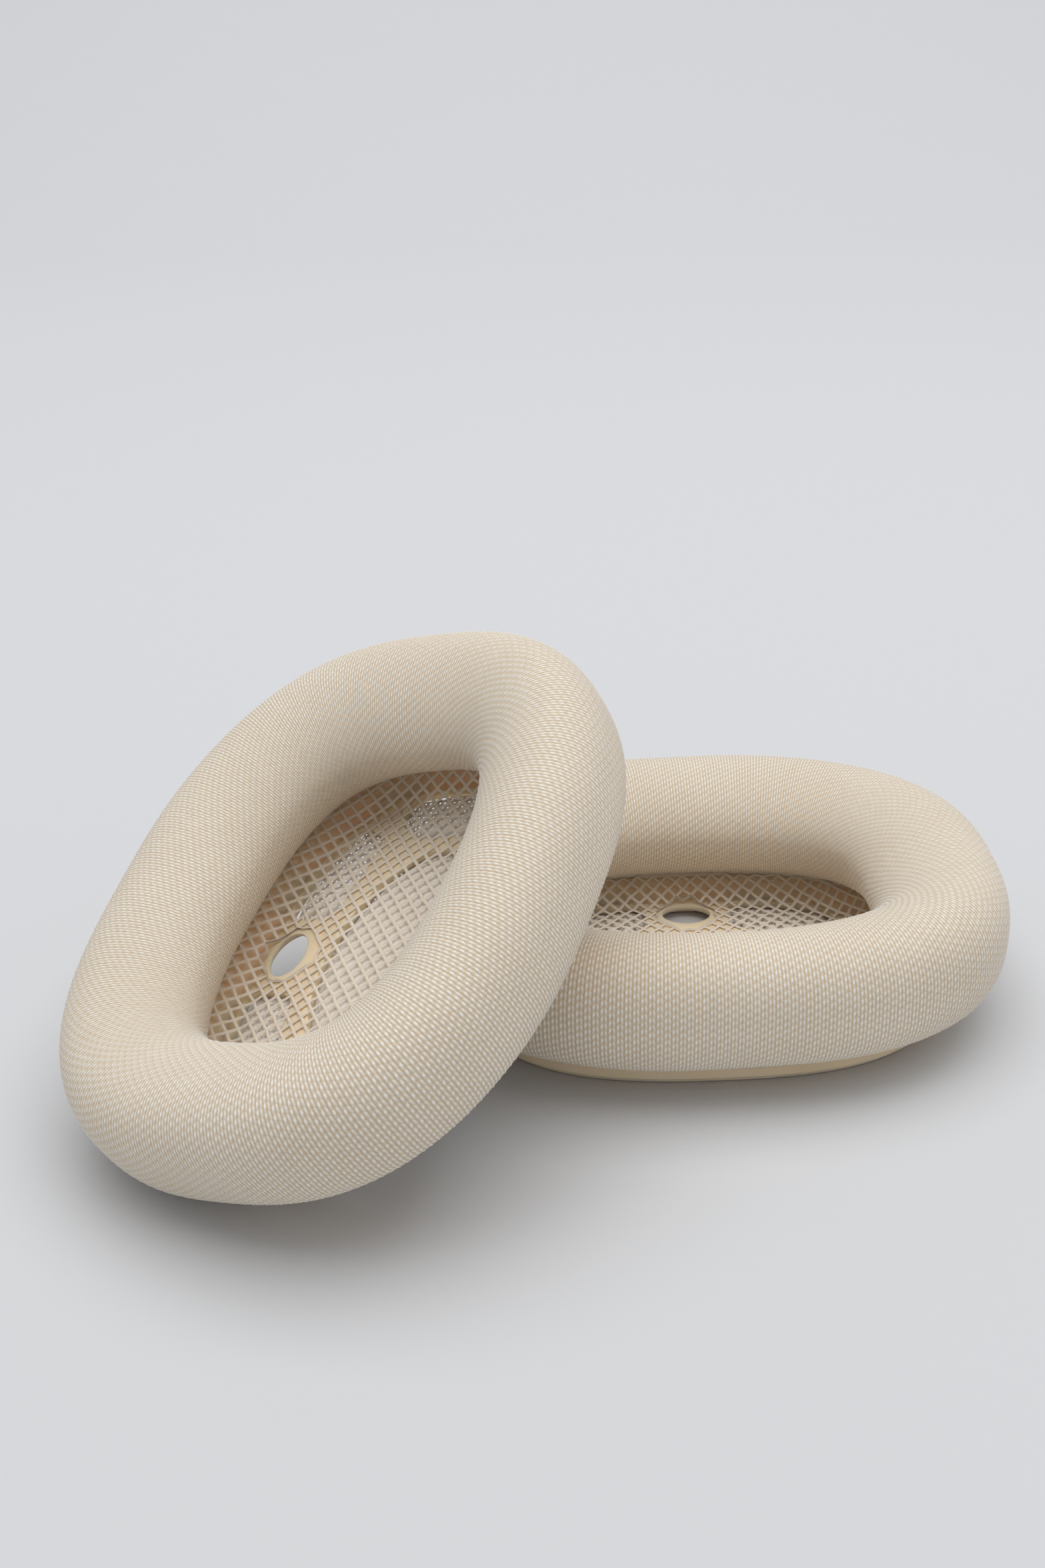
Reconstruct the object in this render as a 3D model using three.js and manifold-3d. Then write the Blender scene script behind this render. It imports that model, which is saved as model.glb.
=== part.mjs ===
// A pair of knitted oval ear cushions for over-ear headphones, in millimetres, +Z up.
// The right cushion lies flat on its back frame and the left one leans on it.
// Each cushion is modelled lying flat in its own frame: back at z = 0, ear side up,
// long axis along X, sensor hole towards +Y. The pair's origin is the bottom centre of its box.
import * as THREE from "three";
import { mergeVertices } from "three/addons/utils/BufferGeometryUtils.js";
import Module from "manifold-3d";

const wasm = await Module();
wasm.setup();

// Driving sizes
const length = 100; // along the long axis, outside the knit
const width = 84; // along the short axis, outside the knit
const height = 27; // back frame to crown
const ovalPower = 2.6; // 2 is an ellipse, more is squarer

// Padded ring: its section is four quarter curves about the crown line
const bulgeOut = 8.5; // crown line to the outermost knit
const bulgeIn = 12.9; // crown line to the innermost knit
const bulgeInSwell = 0.6; // added at the two ends, taken off at the long sides
const widestHeight = 17;
const topOutPower = 2.3;
const topInPower = 1.75;
const lowOutPower = 2.9;
const lowInPower = 2.1;
const knitThick = 1.1;
const knitSlot = 5.2; // open strip under the ring, where the foam is glued down
const skirtHeight = 3.7; // the skirt's hem above the back
const skirtThick = 0.8;
const skirtFlare = 2.9; // the skirt's width where it leaves the padded ring
const clearance = 0.3;

// Carrier frame
const frameInset = 1.8; // crown line to the frame's side
const rimInset = 3.1; // crown line to the lower rim's side
const seatHeight = 5.8; // top of the seat that the padded ring stands on
const seatWide = 1.7;
const rampRun = 2.6; // the slope from the seat down to the plate
const plateTop = 2.4;
const plateBack = 1.2; // the rim stands this far below the plate
const rimWide = 3.9;
const tapeThick = 0.3;

// Openings in the plate
const centreInset = 20.4; // crown line to the edge of the central opening
const centrePower = 1.9;
const windowInset = 7.6; // crown line to the windows' outer edges
const centreBar = 2.6; // between the central opening and the windows
const windowPower = 3; // the windows' outer edges lie on a squarer oval than the crown line
const windowRound = 3.6;
const sideWindowEnd = 14.8; // crown line's end to the side windows' far ends
const sideWindowCut = 2.8; // corner cut off a side window's inner edge
const sideWindowLean = 2; // how far a side window's far end leans in at its outer edge
const endWindowReach = 21.6; // crown line's side to the end windows' far ends
const endWindowNarrow = 4.8; // each end window's inner edge is this much shorter at both corners
const endWindowTaper = 4; // over this length along X
const endWindowOuterCut = 1; // corner cut off an end window's outer edge, along X
const endWindowOuterNarrow = 4.6; // and along Y
const endWindowOuterDrop = 1.2;
const sensorRadius = 4.4;
const sensorInset = 13.4; // crown line to the middle of the sensor hole
const sensorWall = 0.9;
const sensorTop = 3.2;
const sensorMargin = 2.1; // collar to the nearest windows

// Fabrics on the plate
const netThick = 0.5;
const netSlack = 0.2; // the net stands this much further in than the frame's slope
const netHemDrop = 0.2; // the seat to the net's hem
const clothThick = 0.3;
const clothInset = 7.3;

// Magnets in pockets under the rim
const magnetCount = 8;
const magnetLong = 8;
const magnetWide = 2;
const magnetThick = 1.6;
const magnetInset = 5;

// How the left cushion leans on the right one
const rightTurn = 1.3; // degrees about Z
const leanHeading = -59.7; // degrees, which way the tilt axis points
const leanTilt = 31.7; // degrees
const leanTurn = 120.9; // degrees about its own axis
const leanSide = 208.5; // degrees, direction from the right cushion's middle to the left one's

const leanFit = 0.02; // how closely the lean's reach is found

// Facets
const ringSteps = 40;
const knitSteps = 6; // per quarter of the padded ring's section
const coreSteps = 3;
const roundSteps = 24;
const cornerSteps = 3; // in a window's rounded corner
const weld = 0.5; // how far a flat middle runs into the ring round it
const overshoot = 1; // how far a cutting solid runs past what it cuts
const sweepRadius = 30; // any radius larger than the deepest inward offset: it cancels out

const longHalf = length / 2 - bulgeOut;
const shortHalf = width / 2 - bulgeOut;
const ringBottom = seatHeight + tapeThick + 2 * clearance;

const knitColour = new THREE.MeshStandardMaterial({ color: 0xe9dfcd, roughness: 0.95, metalness: 0 });
const foamColour = new THREE.MeshStandardMaterial({ color: 0xd8d5c8, roughness: 0.9, metalness: 0 });
const tapeColour = new THREE.MeshStandardMaterial({ color: 0xefe9da, roughness: 0.6, metalness: 0 });
const frameColour = new THREE.MeshStandardMaterial({ color: 0xc79f6f, roughness: 0.5, metalness: 0 });
const netColour = new THREE.MeshStandardMaterial({ color: 0xd6c1ad, roughness: 0.8, metalness: 0 });
const clothColour = new THREE.MeshStandardMaterial({ color: 0xd9d6cf, roughness: 0.85, metalness: 0 });
const magnetColour = new THREE.MeshStandardMaterial({ color: 0xb8b9bb, roughness: 0.3, metalness: 1 });

// The crown line at one angle, moved outwards by offset: a superellipse and its normal.
function ovalPoint(angle, offset) {
  const c = Math.cos(angle);
  const s = Math.sin(angle);
  const reach = (Math.abs(c / longHalf) ** ovalPower + Math.abs(s / shortHalf) ** ovalPower) ** (-1 / ovalPower);
  const x = reach * c;
  const y = reach * s;
  const nx = Math.sign(x) * Math.abs(x / longHalf) ** (ovalPower - 1) / longHalf;
  const ny = Math.sign(y) * Math.abs(y / shortHalf) ** (ovalPower - 1) / shortHalf;
  const size = Math.hypot(nx, ny);
  return new THREE.Vector2(x + offset * nx / size, y + offset * ny / size);
}

// An oval outline that keeps its distance from the crown line.
function ovalOutline(offset) {
  const points = [];
  for (let i = 0; i < ringSteps; i++) points.push(ovalPoint(2 * Math.PI * i / ringSteps, offset));
  return points;
}

// The y of a superellipse with the given half axes at x.
function ovalSide(halfLong, halfShort, power, x) {
  return halfShort * (1 - Math.min(1, Math.abs(x / halfLong)) ** power) ** (1 / power);
}

// A closed section of (offset, height) points swept round the oval.
// swell(angle) scales the inward part of the section.
function sweptRing(section, swell = () => 1) {
  const closed = [...section, section[0]];
  const lathe = new THREE.LatheGeometry(
    closed.map(([offset, z]) => new THREE.Vector2(sweepRadius + offset, z)),
    ringSteps,
  );
  const position = lathe.getAttribute("position");
  for (let i = 0; i < position.count; i++) {
    const angle = Math.atan2(position.getZ(i), position.getX(i));
    let offset = Math.hypot(position.getX(i), position.getZ(i)) - sweepRadius;
    if (offset < 0) offset *= swell(angle);
    const place = ovalPoint(angle, offset);
    position.setXYZ(i, place.x, -place.y, position.getY(i));
  }
  return lathe;
}

// One quarter of the padded ring's section, from angle start to end in quarter turns.
function quarterCurve(reachOut, reachUp, power, start, inset, steps) {
  const points = [];
  for (let i = 0; i < steps; i++) {
    const turn = (start + i / steps) * Math.PI / 2;
    const c = Math.cos(turn);
    const s = Math.sin(turn);
    const flat = 2 / power;
    points.push([
      Math.sign(c) * Math.abs(c) ** flat * (reachOut - inset),
      widestHeight + Math.sign(s) * Math.abs(s) ** flat * (reachUp - inset),
    ]);
  }
  return points;
}

// The padded ring's section, counter-clockwise from the outermost point, at a depth under the knit's face.
function paddedSection(inset, steps) {
  const up = height - widestHeight;
  const down = widestHeight - ringBottom;
  return [
    ...quarterCurve(bulgeOut, up, topOutPower, 0, inset, steps),
    ...quarterCurve(bulgeIn, up, topInPower, 1, inset, steps),
    ...quarterCurve(bulgeIn, down, lowInPower, 2, inset, steps),
    ...quarterCurve(bulgeOut, down, lowOutPower, 3, inset, steps),
  ];
}

function endSwell(angle) {
  return 1 + bulgeInSwell / bulgeIn * Math.cos(2 * angle);
}

// A flat plate between two heights with holes through it.
function plate(outline, low, high, holes = []) {
  const shape = new THREE.Shape(outline);
  shape.holes = holes.map((points) => new THREE.Path(points));
  const made = new THREE.ExtrudeGeometry(shape, { depth: high - low, bevelEnabled: false });
  return made.translate(0, 0, low);
}

function circle(x, y, radius) {
  const points = [];
  for (let i = 0; i < roundSteps; i++) {
    const turn = 2 * Math.PI * i / roundSteps;
    points.push(new THREE.Vector2(x + radius * Math.cos(turn), y + radius * Math.sin(turn)));
  }
  return points;
}

// A polygon whose corners are rounded.
function roundedOutline(corners, radius) {
  const path = new THREE.Path();
  const count = corners.length;
  for (let i = 0; i < count; i++) {
    const here = new THREE.Vector2(...corners[i]);
    const before = new THREE.Vector2(...corners[(i + count - 1) % count]);
    const after = new THREE.Vector2(...corners[(i + 1) % count]);
    const half = 0.45; // just under half of a side, so that two corners never meet
    const cut = Math.min(radius, before.distanceTo(here) * half, after.distanceTo(here) * half);
    const enter = here.clone().add(before.sub(here).setLength(cut));
    const leave = here.clone().add(after.sub(here).setLength(cut));
    if (i === 0) path.moveTo(enter.x, enter.y);
    else path.lineTo(enter.x, enter.y);
    path.quadraticCurveTo(here.x, here.y, leave.x, leave.y);
  }
  path.closePath();
  return path.getPoints(cornerSteps).slice(0, -1);
}

function solid(geometry) {
  const bare = geometry.index ? geometry.toNonIndexed() : geometry.clone();
  bare.deleteAttribute("normal");
  bare.deleteAttribute("uv");
  const merged = mergeVertices(bare, 1e-4);
  return new wasm.Manifold(new wasm.Mesh({
    numProp: 3,
    vertProperties: merged.getAttribute("position").array,
    triVerts: new Uint32Array(merged.index.array),
  }));
}

function geometryOf(made) {
  const mesh = made.getMesh();
  const geometry = new THREE.BufferGeometry();
  geometry.setAttribute("position", new THREE.BufferAttribute(mesh.vertProperties, 3));
  geometry.setIndex(new THREE.BufferAttribute(mesh.triVerts, 1));
  return geometry;
}

// The knit cover: a tube round the foam, open along a strip at the bottom, with a skirt down the frame's side.
function knitCover() {
  const slotOut = clearance - frameInset;
  const slotIn = slotOut - knitSlot;
  const top = ringBottom + knitThick;
  const shell = solid(sweptRing(paddedSection(0, knitSteps), endSwell))
    .subtract(solid(sweptRing(paddedSection(knitThick, coreSteps), endSwell)));
  const slot = [
    [slotIn, ringBottom - overshoot],
    [slotOut, ringBottom - overshoot],
    [slotOut, top + overshoot],
    [slotIn, top + overshoot],
  ];
  const skirt = [
    [slotOut, skirtHeight],
    [slotOut + skirtThick, skirtHeight],
    [slotOut + skirtFlare, ringBottom + clearance],
    [slotOut + skirtFlare, top - clearance],
    [slotOut, top - clearance],
  ];
  return geometryOf(shell.subtract(solid(sweptRing(slot))).add(solid(sweptRing(skirt))));
}

function foamRing() {
  return sweptRing(paddedSection(knitThick + clearance, coreSteps), endSwell);
}

// Glue between the foam and the frame's seat.
function foamTape() {
  const low = seatHeight + clearance;
  const high = ringBottom + knitThick;
  const outer = -frameInset - clearance;
  const inner = outer - seatWide;
  return sweptRing([[inner, low], [outer, low], [outer, high], [inner, high]]);
}

function sensorY() {
  return shortHalf - sensorInset;
}

function mirrored(corners, sx, sy) {
  return corners.map(([x, y]) => [x * sx, y * sy]);
}

// The central opening and the six windows of the plate.
function plateOpenings() {
  const centreLong = longHalf - centreInset;
  const centreShort = shortHalf - centreInset;
  const centre = [];
  for (let i = 0; i < ringSteps; i++) {
    const turn = 2 * Math.PI * i / ringSteps;
    const c = Math.cos(turn);
    const s = Math.sin(turn);
    const reach = (Math.abs(c / centreLong) ** centrePower + Math.abs(s / centreShort) ** centrePower)
      ** (-1 / centrePower);
    centre.push(new THREE.Vector2(reach * c, reach * s));
  }
  const outLong = longHalf - windowInset;
  const outShort = shortHalf - windowInset;
  const outer = (x) => ovalSide(outLong, outShort, windowPower, x);
  const near = sensorRadius + sensorWall + sensorMargin;
  const far = longHalf - sideWindowEnd;
  const innerEdge = centreShort + centreBar;
  const shoulder = (near + far) / 2 + sideWindowLean;
  const side = [
    [near, innerEdge],
    [far - sideWindowCut, innerEdge - sideWindowCut],
    [far, (innerEdge + outer(far)) / 2],
    [far - sideWindowLean, outer(far - sideWindowLean)],
    [shoulder, outer(shoulder)],
    [near, outer(near)],
  ];
  const endIn = centreLong + centreBar;
  const endHalf = shortHalf - endWindowReach;
  const endSide = [
    [outLong, endHalf - endWindowOuterNarrow],
    [outLong - endWindowOuterCut, endHalf - endWindowOuterDrop],
    [endIn + endWindowTaper, endHalf],
    [endIn, endHalf - endWindowNarrow],
  ];
  const end = [...mirrored(endSide, 1, -1).reverse(), ...endSide];
  const openings = [centre];
  for (const sx of [1, -1]) {
    for (const sy of [1, -1]) openings.push(roundedOutline(mirrored(side, sx, sy), windowRound));
    openings.push(roundedOutline(mirrored(end, sx, 1), windowRound));
  }
  return openings;
}

function magnetPlaces() {
  const places = [];
  for (let i = 0; i < magnetCount; i++) {
    const angle = 2 * Math.PI * (i + 0.5) / magnetCount;
    const step = 0.01; // radians either side, for the crown line's direction
    const along = ovalPoint(angle + step, 0).sub(ovalPoint(angle - step, 0));
    places.push({ at: ovalPoint(angle, -magnetInset), turn: Math.atan2(along.y, along.x) });
  }
  return places;
}

function magnetBlock(grow, low, high, place) {
  const block = new THREE.BoxGeometry(magnetLong + 2 * grow, magnetWide + 2 * grow, high - low);
  block.translate(0, 0, (low + high) / 2).rotateZ(place.turn);
  return block.translate(place.at.x, place.at.y, 0);
}

// The moulded frame: a plate with windows, a rim below it, a seat above it and the sensor collar.
function carrierFrame() {
  const side = -frameInset;
  const seatIn = side - seatWide;
  const rampFoot = seatIn - rampRun;
  const rimIn = -rimInset - rimWide;
  const edge = [
    [-rimInset, 0],
    [-rimInset, plateBack],
    [side, plateBack],
    [side, seatHeight],
    [seatIn, seatHeight],
    [rampFoot, plateTop],
    [rimIn, plateTop],
    [rimIn, 0],
  ];
  let frame = solid(sweptRing(edge));
  const floor = plate(ovalOutline(rimIn + weld), plateBack, plateTop, plateOpenings());
  frame = frame.add(solid(floor));
  const y = sensorY();
  frame = frame.add(solid(plate(circle(0, y, sensorRadius + sensorWall), 0, sensorTop)));
  frame = frame.subtract(solid(plate(circle(0, y, sensorRadius), -overshoot, sensorTop + overshoot)));
  for (const place of magnetPlaces()) {
    frame = frame.subtract(solid(magnetBlock(clearance, -overshoot, magnetThick + 2 * clearance, place)));
  }
  return geometryOf(frame);
}

// The frame's slope between the plate and the seat, at one height.
function rampAt(z) {
  return -frameInset - seatWide - rampRun * (seatHeight - z) / (seatHeight - plateTop);
}

// The open net: flat over the plate, turned up along the frame's slope to its hem.
function meshScreen() {
  const low = plateTop + clearance;
  const high = low + netThick;
  const hem = seatHeight - netHemDrop;
  const lowFold = rampAt(low) - netSlack;
  const hemAt = rampAt(hem) - netSlack;
  const flat = lowFold - netThick;
  let net = solid(sweptRing([
    [flat, low],
    [lowFold, low],
    [hemAt, hem],
    [hemAt - netThick, hem],
    [rampAt(high) - netSlack - netThick, high],
    [flat, high],
  ]));
  net = net.add(solid(plate(ovalOutline(flat + weld), low, high)));
  const hole = circle(0, sensorY(), sensorRadius + sensorWall + clearance);
  return geometryOf(net.subtract(solid(plate(hole, 0, seatHeight))));
}

// The fine cloth behind the windows.
function acousticCloth() {
  const high = plateBack - clearance;
  const low = high - clothThick;
  const hole = circle(0, sensorY(), sensorRadius + sensorWall + clearance);
  return geometryOf(solid(plate(ovalOutline(-clothInset), low, high)).subtract(solid(plate(hole, 0, seatHeight))));
}

function magnet(place) {
  return magnetBlock(0, clearance, clearance + magnetThick, place);
}

function named(name, geometry, material) {
  const mesh = new THREE.Mesh(geometry, material);
  mesh.name = name;
  return mesh;
}

function cushion(side) {
  const group = new THREE.Group();
  group.add(named(`${side}_knit_cover`, knitCover(), knitColour));
  group.add(named(`${side}_foam_ring`, foamRing(), foamColour));
  group.add(named(`${side}_foam_tape`, foamTape(), tapeColour));
  group.add(named(`${side}_carrier_frame`, carrierFrame(), frameColour));
  group.add(named(`${side}_mesh_screen`, meshScreen(), netColour));
  group.add(named(`${side}_acoustic_cloth`, acousticCloth(), clothColour));
  magnetPlaces().forEach((place, i) => {
    group.add(named(`${side}_magnet_${i + 1}`, magnet(place), magnetColour));
  });
  return group;
}

// Whether a point in a cushion's own frame lies in its padded ring or its back frame, clearance included.
function insideCushion(point) {
  const z = point.z;
  if (z < -clearance || z > height + clearance) return false;
  const backLong = longHalf - frameInset + clearance;
  const backShort = shortHalf - frameInset + clearance;
  const within = Math.abs(point.x / backLong) ** ovalPower + Math.abs(point.y / backShort) ** ovalPower;
  if (z < seatHeight && within < 1) return true;
  const angle = Math.atan2(point.y, point.x);
  const spread = 0.3; // radians searched either side for the nearest place on the crown line
  const step = 0.02;
  const reached = 1; // how near in millimetres its normal has to pass
  for (let turn = angle - spread; turn <= angle + spread; turn += step) {
    const near = ovalPoint(turn, 0);
    const away = ovalPoint(turn, 1).sub(near);
    const gap = new THREE.Vector2(point.x, point.y).sub(near);
    const offset = gap.dot(away);
    if (Math.abs(gap.cross(away)) > reached) continue;
    const isUp = z > widestHeight;
    const across = offset > 0 ? bulgeOut : bulgeIn * endSwell(turn);
    const tall = isUp ? height - widestHeight : widestHeight - ringBottom;
    let power = isUp ? topInPower : lowInPower;
    if (offset > 0) power = isUp ? topOutPower : lowOutPower;
    const reach = Math.abs(offset / (across + clearance)) ** power
      + Math.abs((z - widestHeight) / (tall + clearance)) ** power;
    if (reach < 1) return true;
  }
  return false;
}

function cloudOf(group) {
  group.updateMatrixWorld(true);
  const points = [];
  group.traverse((o) => {
    if (!o.isMesh) return;
    const position = o.geometry.getAttribute("position");
    for (let i = 0; i < position.count; i++) {
      points.push(new THREE.Vector3().fromBufferAttribute(position, i).applyMatrix4(o.matrixWorld));
    }
  });
  return points;
}

// Whether no point of one cushion's cloud lies in the other cushion.
function isClear(cloud, other) {
  other.updateMatrixWorld(true);
  const inward = other.matrixWorld.clone().invert();
  return cloud.every((p) => !insideCushion(p.clone().applyMatrix4(inward)));
}

const degrees = Math.PI / 180;
const right = cushion("right");
const left = cushion("left");

// The left cushion tilts, stands on the surface and slides in until it leans on the right one.
const tilt = new THREE.Matrix4().makeRotationZ(leanHeading * degrees)
  .multiply(new THREE.Matrix4().makeRotationX(leanTilt * degrees))
  .multiply(new THREE.Matrix4().makeRotationZ(leanTurn * degrees));
left.quaternion.setFromRotationMatrix(tilt);
left.position.z = -Math.min(...cloudOf(left).map((p) => p.z));
right.rotation.z = rightTurn * degrees;
const flatCloud = cloudOf(right);
let touching = 0;
let apart = length + width;
while (apart - touching > leanFit) {
  const reach = (touching + apart) / 2;
  left.position.x = reach * Math.cos(leanSide * degrees);
  left.position.y = reach * Math.sin(leanSide * degrees);
  if (isClear(flatCloud, left) && isClear(cloudOf(left), right)) apart = reach;
  else touching = reach;
}
left.position.x = apart * Math.cos(leanSide * degrees);
left.position.y = apart * Math.sin(leanSide * degrees);

const pair = new THREE.Group();
pair.add(right, left);
pair.updateMatrixWorld(true);
const box = new THREE.Box3().setFromObject(pair, true);
const middle = box.getCenter(new THREE.Vector3());
for (const one of [right, left]) one.position.sub(new THREE.Vector3(middle.x, middle.y, box.min.z));

export default pair;
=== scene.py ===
import math

import bpy
import numpy as np
from mathutils import Matrix, Vector


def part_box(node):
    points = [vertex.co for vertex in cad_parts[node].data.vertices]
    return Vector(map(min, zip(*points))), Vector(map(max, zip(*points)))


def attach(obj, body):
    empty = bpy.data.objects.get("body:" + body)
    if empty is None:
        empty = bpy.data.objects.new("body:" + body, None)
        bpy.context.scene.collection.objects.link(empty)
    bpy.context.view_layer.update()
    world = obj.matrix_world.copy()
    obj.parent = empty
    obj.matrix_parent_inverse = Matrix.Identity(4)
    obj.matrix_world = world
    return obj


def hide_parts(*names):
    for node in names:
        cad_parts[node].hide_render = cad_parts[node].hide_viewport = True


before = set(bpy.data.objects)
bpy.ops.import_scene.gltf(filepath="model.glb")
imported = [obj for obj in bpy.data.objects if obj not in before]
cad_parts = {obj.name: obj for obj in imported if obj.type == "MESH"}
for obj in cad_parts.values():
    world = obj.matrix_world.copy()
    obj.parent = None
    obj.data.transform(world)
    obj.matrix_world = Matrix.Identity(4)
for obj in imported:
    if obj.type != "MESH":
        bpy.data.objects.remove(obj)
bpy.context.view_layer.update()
bpy.ops.object.select_all(action="DESELECT")
print("frame loaded")

mm = 0.001

# The oval that every ring follows, in millimetres
oval = {"longHalf": 41.5, "shortHalf": 33.5, "power": 2.6, "samples": 720, "fineSamples": 4000}

# How the two cushions lie, in degrees, and the height of the tape's middle, in millimetres
lay = {"flatTurn": 1.3, "heading": -59.7, "tilt": 31.7, "turn": 120.9, "tapeMiddle": 6.95}

# The padded ring's section about its crown line, in millimetres
ring = {
    "height": 27, "widest": 17, "bottom": 6.7,
    "bulgeOut": 8.5, "bulgeIn": 12.9, "endSwell": 0.6,
    "topOutPower": 2.3, "topInPower": 1.75, "lowOutPower": 2.9, "lowInPower": 2.1,
}


def cushionPlace(side):
    # from a cushion's own millimetres, lying flat, to its place in the frame
    low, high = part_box(side + "_foam_tape")
    middle = (Vector(low) + Vector(high)) / 2
    if side == "right":
        turn = Matrix.Rotation(math.radians(lay["flatTurn"]), 4, "Z")
    else:
        turn = (
            Matrix.Rotation(math.radians(lay["heading"]), 4, "Z")
            @ Matrix.Rotation(math.radians(lay["tilt"]), 4, "X")
            @ Matrix.Rotation(math.radians(lay["turn"]), 4, "Z")
        )
    start = middle - turn @ Vector((0, 0, lay["tapeMiddle"] * mm))
    return Matrix.Translation(start) @ turn @ Matrix.Scale(mm, 4)


def ovalCurve(angles):
    # points of the crown line and its outward normals
    a, b, power = oval["longHalf"], oval["shortHalf"], oval["power"]
    c, s = np.cos(angles), np.sin(angles)
    reach = (abs(c / a) ** power + abs(s / b) ** power) ** (-1 / power)
    x, y = reach * c, reach * s
    nx = np.sign(x) * abs(x / a) ** (power - 1) / a
    ny = np.sign(y) * abs(y / b) ** (power - 1) / b
    size = np.hypot(nx, ny)
    return x, y, nx / size, ny / size


def evenAngles(count):
    # angles that step evenly along the crown line
    fine = np.linspace(0, 2 * math.pi, oval["fineSamples"] + 1)
    x, y, _, _ = ovalCurve(fine)
    run = np.concatenate([[0], np.cumsum(np.hypot(np.diff(x), np.diff(y)))])
    return np.interp(np.arange(count) / count * run[-1], run, fine)


def ovalAt(angle, offset):
    # one point at this distance outside the crown line
    x, y, nx, ny = ovalCurve(np.array([angle]))
    return float(x[0] + offset * nx[0]), float(y[0] + offset * ny[0])


def offsetOf(points):
    # how far points lie outside the crown line, and the outward normals there
    cx, cy, nx, ny = ovalCurve(np.linspace(0, 2 * math.pi, oval["samples"] + 1)[:-1])
    out = np.empty(len(points))
    normals = np.empty((len(points), 2))
    chunk = 2000
    for start in range(0, len(points), chunk):
        part = slice(start, start + chunk)
        dx = points[part, 0, None] - cx
        dy = points[part, 1, None] - cy
        near = (dx * dx + dy * dy).argmin(axis=1)
        rows = np.arange(len(near))
        out[part] = dx[rows, near] * nx[near] + dy[rows, near] * ny[near]
        normals[part] = np.stack([nx[near], ny[near]], axis=1)
    return out, normals


def quarterCurve(reachOut, reachUp, power, start, stop, count=60):
    # part of a rounded oval about the ring's widest height, with start and stop in quarter turns
    turn = np.linspace(start, stop, count) * math.pi / 2
    c, s = np.cos(turn), np.sin(turn)
    flat = 2 / power
    return np.stack([
        np.sign(c) * abs(c) ** flat * reachOut,
        ring["widest"] + np.sign(s) * abs(s) ** flat * reachUp,
    ], axis=1)


def meshPiece(name, vertices, faces, place):
    mesh = bpy.data.meshes.new(name)
    mesh.from_pydata(vertices, [], faces)
    mesh.transform(place)
    piece = bpy.data.objects.new(name, mesh)
    bpy.context.collection.objects.link(piece)
    return piece


def only(piece):
    # selects one piece and nothing else
    bpy.ops.object.select_all(action="DESELECT")
    piece.select_set(True)
    bpy.context.view_layer.objects.active = piece


def edit(piece):
    only(piece)
    bpy.ops.object.mode_set(mode="EDIT")
    bpy.ops.mesh.select_all(action="SELECT")


def leave():
    bpy.ops.object.mode_set(mode="OBJECT")


def applied(piece, kind, **settings):
    # a modifier, added and made part of the mesh
    only(piece)
    modifier = piece.modifiers.new(kind.title(), kind)
    for key, value in settings.items():
        setattr(modifier, key, value)
    bpy.ops.object.modifier_apply(modifier=modifier.name)


def cutAway(piece, gone):
    # deletes the vertices that the list marks
    only(piece)
    bpy.ops.object.mode_set(mode="EDIT")
    bpy.ops.mesh.select_mode(type="VERT")
    bpy.ops.mesh.select_all(action="DESELECT")
    leave()
    piece.data.vertices.foreach_set("select", [bool(mark) for mark in gone])
    bpy.ops.object.mode_set(mode="EDIT")
    bpy.ops.mesh.delete(type="VERT")
    leave()


def vertexArray(piece):
    flat = np.empty(len(piece.data.vertices) * 3)
    piece.data.vertices.foreach_get("co", flat)
    return flat.reshape(-1, 3)


def setVertices(piece, points):
    piece.data.vertices.foreach_set("co", np.ascontiguousarray(points, dtype=float).ravel())
    piece.data.update()


def seat(piece, side, place, slotName, *nodes):
    # moves a finished piece to its cushion's place and ties it to that cushion's body
    piece.data.transform(place)
    piece.data.update()
    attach(piece, side + "_cushion")
    if nodes:
        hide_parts(*nodes)


def smooth(piece, angle):
    only(piece)
    bpy.ops.object.shade_smooth_by_angle(angle=math.radians(angle))


def grey(level):
    return (level, level, level)


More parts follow.
